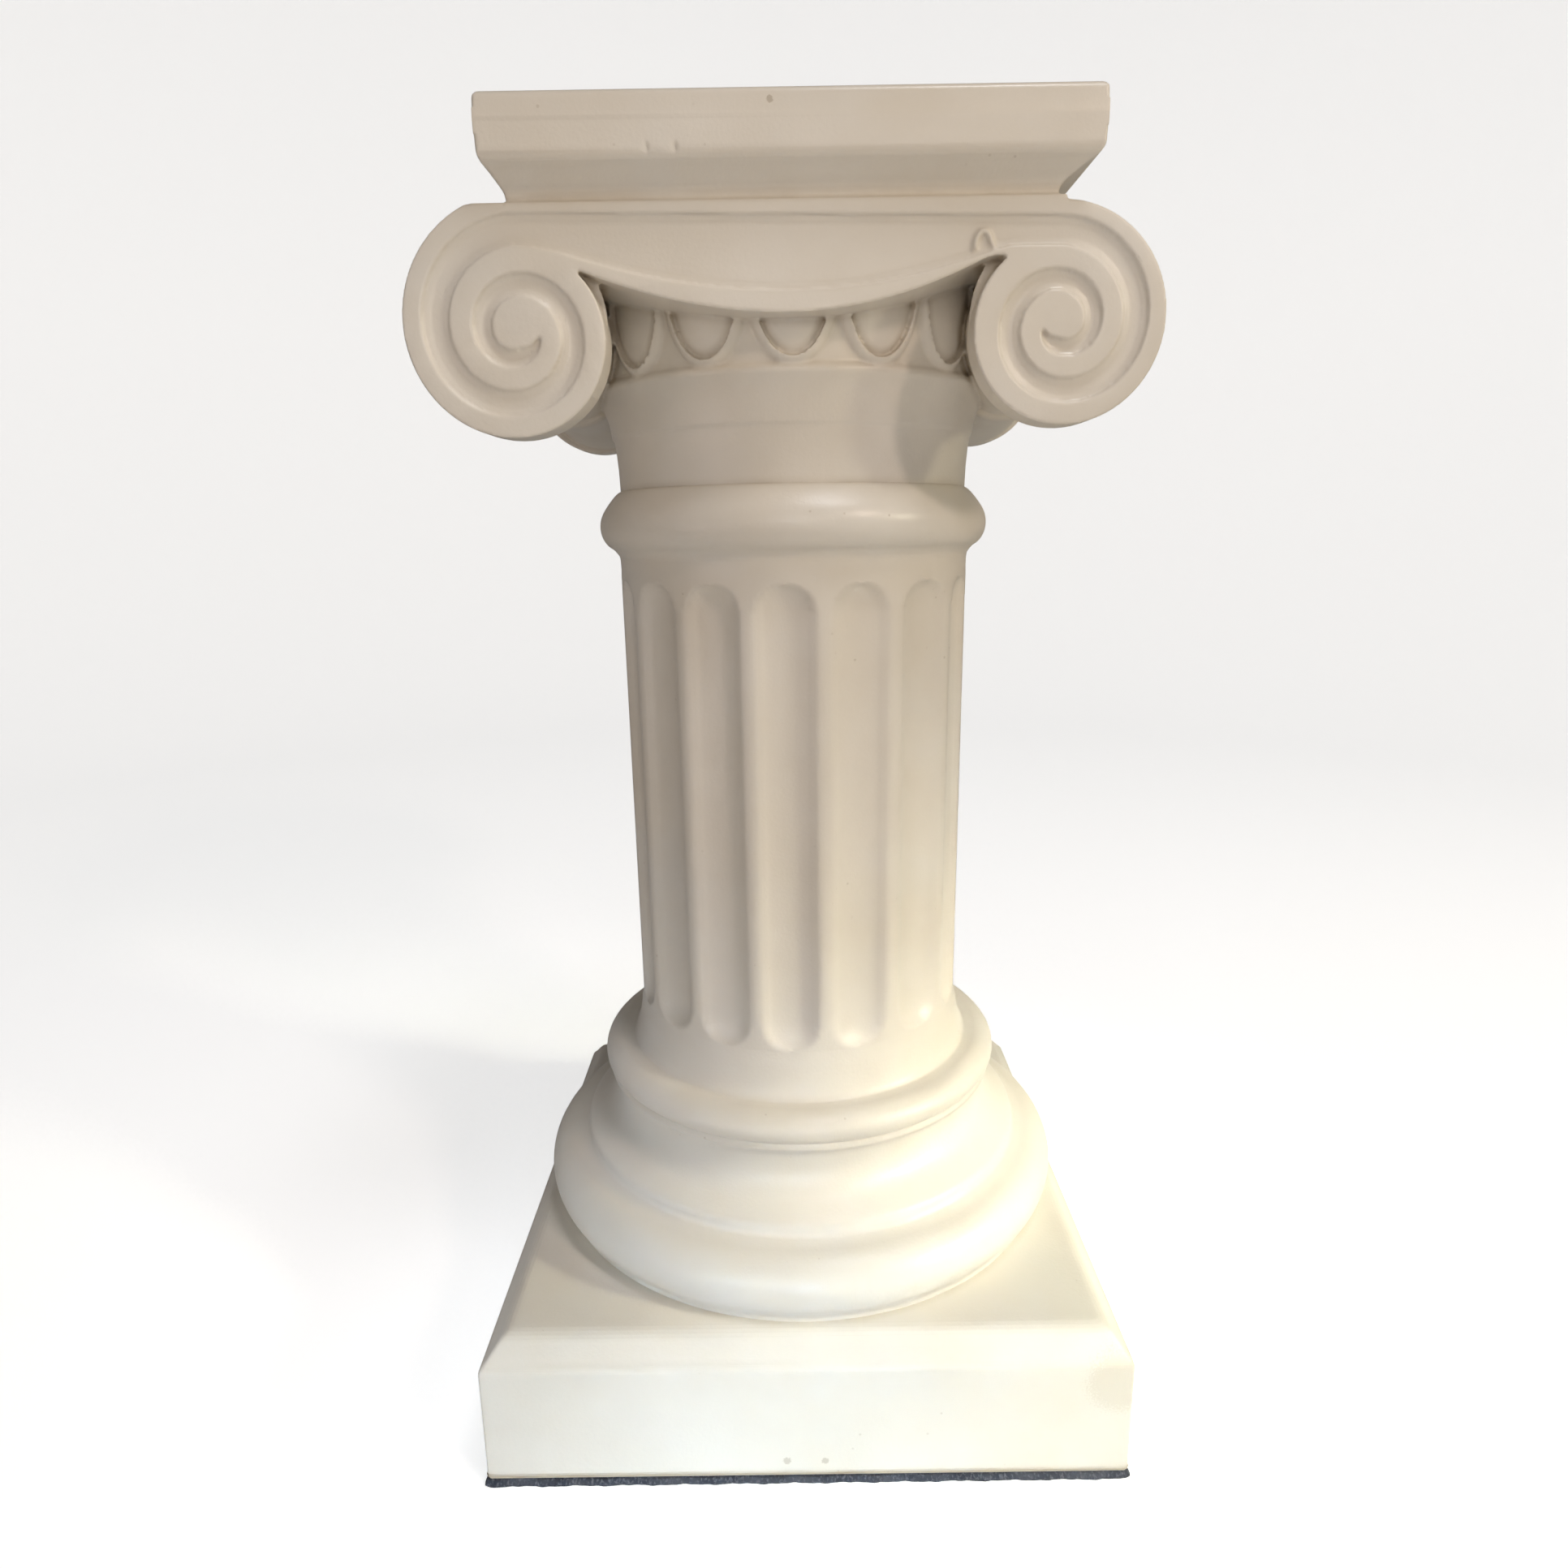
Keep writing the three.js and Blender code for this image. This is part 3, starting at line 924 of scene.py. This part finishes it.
@dataclass(frozen=True)
class Paint:
    """Cream semi-gloss house paint over plaster, laid on thick, a little dirty in its creases and darkened
    there with painted shade.

    Each mark is a place in modules (across, back, level) and a size in millimetres.
    """

    name: str = "cream_paint"
    colour: tuple[float, float, float] = (0.80, 0.745, 0.66)
    shade: tuple[float, float, float] = (0.745, 0.68, 0.58)
    cool: tuple[float, float, float] = (0.74, 0.74, 0.72)
    # Dark brown for the stains and chips, and for the creases, where it is partly real soiling and partly
    # painted shade.
    dirt_and_shade: tuple[float, float, float] = (0.30, 0.215, 0.115)
    worn: tuple[float, float, float] = (0.45, 0.36, 0.25)
    roughness: float = 0.33
    crease_reach: float = 0.005
    mark_fineness: float = 1400
    mark_strength: float = 0.42
    worn_strength: float = 0.22
    marks: tuple[tuple[float, float, float, float], ...] = (
        (0.268, -0.581, 2.901, 1.2),
        (0.021, -0.93, 0.706, 2.6),
        (-0.232, -0.901, 0.667, 2.4),
        (-0.496, -0.549, 0.712, 1.6),
        (-0.46, -0.5, 0.79, 1.4),
        (0.056, -1.0, 0.053, 3.0),
        (-0.062, -1.0, 0.055, 3.4),
        (-0.051, -0.779, 3.885, 2.2),
        (0.306, -0.469, 1.5, 1.6),
        (-0.44, -0.82, 0.56, 2.0),
        (-0.3, -0.88, 0.59, 1.8),
        (-0.005, -0.93, 0.615, 2.2),
    )

    def material(self, order: SettingOut) -> bpy.types.Material:
        """Builds the paint: patches, orange peel, dirty creases darkened with painted shade, and the marks.

        Args:
            order: The setting out that the marks' places are given in.

        Returns:
            The material.
        """
        material, recipe = Recipe.material(self.name)
        shader = recipe.tree.nodes["Principled BSDF"]
        place = recipe.where()
        base = recipe.group(patchiness(), Place=place, Patch=11.0, Grain=520.0)
        tint = recipe.blend(base.outputs["Patches"], (*self.colour, 1), (*self.shade, 1))
        cool = recipe.spread(recipe.noise(place, 6.5, 3.0), 0.5, 0.75, 0.0, 0.55)
        tint = recipe.blend(cool, tint, (*self.cool, 1))
        # Painted shade: ambient occlusion darkens creases and hollows towards the dark brown, standing partly
        # for soiled creases and partly for the shade that falls in them; it is made stronger higher up the
        # pedestal.
        crease = recipe.node("AmbientOcclusion", Distance=self.crease_reach)
        crease.samples = 3
        crease_dirt_and_shade = recipe.spread(crease.outputs["AO"], 0.84, 0.45)
        height = recipe.node("SeparateXYZ", Vector=place).outputs["Z"]
        crease_dirt_and_shade = recipe.sum("MULTIPLY", crease_dirt_and_shade, recipe.spread(height, 0.12, 0.56, 0.22, 0.8))
        uneven = recipe.spread(recipe.noise(place, 38.0, 4.0), 0.3, 0.62, 0.35, 1.0)
        tint = recipe.blend(recipe.sum("MULTIPLY", crease_dirt_and_shade, uneven), tint, (*self.dirt_and_shade, 1))
        specks = recipe.node("TexVoronoi", Vector=place, Scale=95.0)
        dot = recipe.spread(specks.outputs["Distance"], 0.085, 0.05)
        rare = recipe.spread(recipe.noise(place, 21.0, 1.0), 0.6, 0.64)
        marked = recipe.sum("MULTIPLY", recipe.sum("MULTIPLY", dot, rare), 0.55)
        for across, back, level, size in self.marks:
            centre = (across * order.module, back * order.module, order.foot + level * order.module)
            spot = recipe.group(small_mark(), Place=place, Centre=centre, Size=size / self.mark_fineness)
            marked = recipe.sum("MAXIMUM", marked, spot.outputs["Mark"])
        tint = recipe.blend(recipe.sum("MULTIPLY", marked, self.mark_strength), tint, (*self.dirt_and_shade, 1))
        corner = (0.96 * order.module, -1.0 * order.module, order.foot + 0.33 * order.module)
        rubbed = recipe.group(small_mark(), Place=place, Centre=corner, Size=0.02).outputs["Mark"]
        tint = recipe.blend(recipe.sum("MULTIPLY", rubbed, self.worn_strength), tint, (*self.worn, 1))
        waves = recipe.noise(place, 26.0, 1.0)
        gloss = recipe.spread(waves, 0.3, 0.7, self.roughness - 0.03, self.roughness + 0.04)
        peel = recipe.node("Bump", Strength=0.2, Distance=0.0005, Height=base.outputs["Grain"])
        body = recipe.node("Bump", Strength=0.2, Distance=0.0016, Height=waves, Normal=peel.outputs["Normal"])
        recipe.feed(shader, Base_Color=tint, Roughness=gloss, Normal=body.outputs["Normal"])
        shader.inputs["IOR"].default_value = 1.5
        return material


@dataclass(frozen=True)
class Felt:
    """Dark blue-grey felt, with paler slanting fibres."""

    name: str = "felt"
    colour: tuple[float, float, float] = (0.03, 0.035, 0.048)
    fibre: tuple[float, float, float] = (0.15, 0.155, 0.18)

    def material(self) -> bpy.types.Material:
        """Builds the felt: patches, short slanting fibres and a rough nap."""
        material, recipe = Recipe.material(self.name)
        shader = recipe.tree.nodes["Principled BSDF"]
        place = recipe.where()
        base = recipe.group(patchiness(), Place=place, Patch=60.0, Grain=1500.0)
        slanted = recipe.stretched(place, (1.0, 1.0, 0.35), (0.0, math.radians(35), math.radians(20)))
        fibres = recipe.noise(slanted, 700.0, 3.0)
        tint = recipe.blend(recipe.spread(fibres, 0.5, 0.72), (*self.colour, 1), (*self.fibre, 1))
        tint = recipe.blend(recipe.sum("MULTIPLY", base.outputs["Patches"], 0.4), tint, (*self.fibre, 1))
        nap = recipe.node("Bump", Strength=0.8, Distance=0.0012, Height=fibres)
        grain, normal = base.outputs["Grain"], nap.outputs["Normal"]
        fuzz = recipe.node("Bump", Strength=0.5, Distance=0.0006, Height=grain, Normal=normal)
        recipe.feed(shader, Base_Color=tint, Normal=fuzz.outputs["Normal"])
        shader.inputs["Roughness"].default_value = 0.95
        shader.inputs["Specular IOR Level"].default_value = 0.2
        return material


@dataclass
class Pad:
    """The felt pad under the plinth, cut by hand and pressed thin by the weight."""

    node: str = "felt_pad"
    fine: int = 220
    waver: float = 0.0006
    proud: float = 0.0007
    gap: float = 0.0012
    bulge: float = 0.0015
    edge_band: float = 0.1

    def build(self) -> bpy.types.Object:
        """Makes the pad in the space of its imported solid, with a rounded, slightly wavering edge."""
        low, high = (Vector(corner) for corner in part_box(self.node))
        size, middle = high - low, (high + low) / 2
        bpy.ops.mesh.primitive_grid_add(x_subdivisions=self.fine, y_subdivisions=self.fine, size=1)
        Bench.edit(bpy.context.object)
        bpy.ops.transform.resize(value=(size.x, size.y, 1))
        bpy.ops.transform.translate(value=(middle.x, middle.y, low.z))
        bpy.ops.mesh.extrude_region_move(TRANSFORM_OT_translate={"value": (0, 0, size.z / 2)})
        bpy.ops.mesh.extrude_region_move(TRANSFORM_OT_translate={"value": (0, 0, size.z / 2)})
        pad = Bench.done("felt_pad_soft")
        half = size / 2
        for vertex in pad.data.vertices:
            self.shape(vertex, middle, half, low.z)
        return pad

    def shape(self, vertex: bpy.types.MeshVertex, middle: Vector, half: Vector, floor: float) -> None:
        """Moves one point of the pad: rounds the edge, lets it waver, and thins the pad near it."""
        across, back = (vertex.co.x - middle.x) / half.x, (vertex.co.y - middle.y) / half.y
        rim = max(abs(across), abs(back))
        along = back if abs(across) > abs(back) else across
        height = (vertex.co.z - floor) / (2 * half.z)
        if rim > 0.999:
            wave = math.sin(37 * along) + 0.6 * math.sin(91 * along + 2.0) + 0.4 * math.sin(163 * along + 5.0)
            bulge = self.bulge * (1 - (2 * height - 1) ** 2) + self.proud + self.waver * wave / 2
            scale = 1 + bulge / half.x
            vertex.co.x = middle.x + (vertex.co.x - middle.x) * scale
            vertex.co.y = middle.y + (vertex.co.y - middle.y) * scale
        start = 1 - self.edge_band
        if height > start and rim > start:
            vertex.co.z -= self.gap * (rim - start) / self.edge_band * (0.35 + 0.65 * (1 - along * along))


@dataclass
class Studio:
    """The pale round studio floor and the lights."""

    floor_radius: float = 2.2
    wall_radius: float = 1.2
    floor_glow: float = 0.68

    def floor(self) -> bpy.types.Object:
        """A pale floor that curves up all round."""
        profile = [
            (0, 0),
            (self.floor_radius, 0),
            *arc((self.floor_radius, self.wall_radius), (self.wall_radius,) * 2, -85, 0, 12),
            (self.floor_radius + self.wall_radius, 3.0),
        ]
        floor = Bench.turned("studio_floor", profile, 96)
        floor.data.shade_smooth()
        material, recipe = Recipe.material("studio_floor")
        shader = recipe.tree.nodes["Principled BSDF"]
        shader.inputs["Base Color"].default_value = (0.8, 0.8, 0.8, 1)
        shader.inputs["Roughness"].default_value = 0.9
        shader.inputs["Emission Color"].default_value = (1.0, 1.0, 1.0, 1)
        seen = recipe.node("LightPath").outputs["Is Camera Ray"]
        recipe.feed(shader, Emission_Strength=recipe.sum("MULTIPLY", seen, self.floor_glow))
        floor.data.materials.append(material)
        return floor

    @staticmethod
    def lamp(name: str, place: tuple[float, float, float], aim: tuple[float, float, float], size: float,
             power: float, colour: tuple[float, float, float], spread: float = 180) -> None:
        """Adds one soft square lamp.

        Args:
            name: The lamp's name.
            place: Where it stands, in metres.
            aim: The point that it faces.
            size: The length of its side, in metres.
            power: Its power, in watts.
            colour: Its colour.
            spread: How wide its beam opens, in degrees.
        """
        data = bpy.data.lights.new(name, "AREA")
        data.size = size
        data.energy = power
        data.color = colour
        data.spread = math.radians(spread)
        lamp = bpy.data.objects.new(name, data)
        lamp.location = place
        lamp.rotation_euler = (Vector(aim) - Vector(place)).to_track_quat("-Z", "Y").to_euler()
        lamp.visible_camera = False
        bpy.context.collection.objects.link(lamp)

    def lights(self) -> None:
        """Adds the lamps of the room, three narrow ones that keep the base bright, and a faint sky."""
        self.lamp("key", (1.5, -1.7, 1.75), (0.05, 0, 0.3), 0.25, 12.5, (1.0, 0.82, 0.7))
        self.lamp("right", (2.1, -1.0, 1.2), (0, 0, 0.3), 0.2, 8.0, (1.0, 0.94, 0.7))
        self.lamp("low_left", (-1.5, -1.3, 0.2), (0, 0, 0.1), 0.8, 2.8, (1.0, 0.84, 0.8))
        self.lamp("ceiling", (0.5, -0.7, 2.4), (0, 0, 0.4), 0.5, 12.3, (0.95, 0.96, 1.0))
        self.lamp("front", (0.1, -2.4, 1.0), (0, 0, 0.5), 1.0, 8.2, (1.0, 0.94, 0.88))
        self.lamp("base_left", (-0.7, -1.6, 0.35), (-0.02, 0, -0.06), 0.3, 0.15, (0.7, 0.88, 1.0), 20)
        self.lamp("base_front", (0.1, -1.8, 0.25), (0, 0, -0.08), 0.3, 0.2, (0.4, 0.66, 1.0), 18)
        self.lamp("base_right", (1.8, -0.9, 0.9), (0.12, 0, 0), 0.3, 0.8, (1.0, 1.0, 0.78), 20)
        world = bpy.data.worlds.new("room")
        world.use_nodes = True
        sky = world.node_tree.nodes["Background"]
        sky.inputs["Color"].default_value = (1.0, 0.985, 0.97, 1)
        sky.inputs["Strength"].default_value = 0.03
        bpy.context.scene.world = world
        bpy.context.scene.view_settings.view_transform = "Standard"


@dataclass(frozen=True)
class Viewpoint:
    """Where the camera stands and how it is turned.

    Args:
        place: The camera's place, in metres.
        yaw: Degrees to the right of straight ahead.
        pitch: Degrees below the horizon.
        roll: Degrees that the camera leans to the right.
        lens: The focal length, in millimetres on a sensor 36 mm wide.
    """

    place: tuple[float, float, float] = (-0.0062, -0.6502, 0.5201)
    yaw: float = -0.133
    pitch: float = 13.685
    roll: float = 0.866
    lens: float = 23.643

    def build(self) -> bpy.types.Object:
        """Makes the scene's camera."""
        data = bpy.data.cameras.new("camera")
        data.lens = self.lens
        data.sensor_width = 36
        data.clip_start = 0.01
        camera = bpy.data.objects.new("camera", data)
        turn = (
            Matrix.Rotation(math.radians(-self.yaw), 4, "Z")
            @ Matrix.Rotation(math.radians(90 - self.pitch), 4, "X")
            @ Matrix.Rotation(math.radians(-self.roll), 4, "Z")
        )
        camera.matrix_world = Matrix.Translation(self.place) @ turn
        bpy.context.collection.objects.link(camera)
        bpy.context.scene.camera = camera
        return camera


@dataclass
class Pedestal:
    """The whole casting: plinth, column and capital, joined into one solid."""

    node: str = "pedestal_casting"
    finish: Paint = field(default_factory=Paint)

    def build(self) -> bpy.types.Object:
        """Builds the three lengths of the casting, joins them and paints them."""
        order = SettingOut.from_frame(self.node)
        casting = Column(order).build()
        Bench.combine(casting, Plinth(order).build(), Cut.JOIN)
        Bench.combine(casting, Capital(order).build(), Cut.JOIN)
        casting.name = "pedestal"
        Bench.pick(casting)
        bpy.ops.object.shade_smooth_by_angle(angle=math.radians(50))
        Bench.clear()
        casting.data.materials.clear()
        casting.data.materials.append(self.finish.material(order))
        return casting


def place(piece: bpy.types.Object, node: str, slot: str) -> None:
    """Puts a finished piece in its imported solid's stead."""
    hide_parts(node)
    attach(piece, "root")
    piece.data.calc_loop_triangles()
    LOG.info("%s: %d triangles", piece.name, len(piece.data.loop_triangles))


def corners(box: tuple[Vector, Vector]) -> list[list[float]]:
    """A box as plain lists of numbers."""
    return [[float(value) for value in corner] for corner in box]


def main() -> None:
    """Builds the pedestal, its pad and the studio."""
    logging.basicConfig(level=logging.INFO, format="%(name)s: %(message)s")
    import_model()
    Viewpoint().build()
    place(Pedestal().build(), "pedestal_casting", "painted_plaster")
    pad = Pad().build()
    pad.data.materials.append(Felt().material())
    place(pad, "felt_pad", "felt")
    studio = Studio()
    studio.floor()
    studio.lights()


if __name__ == "__main__":
    main()
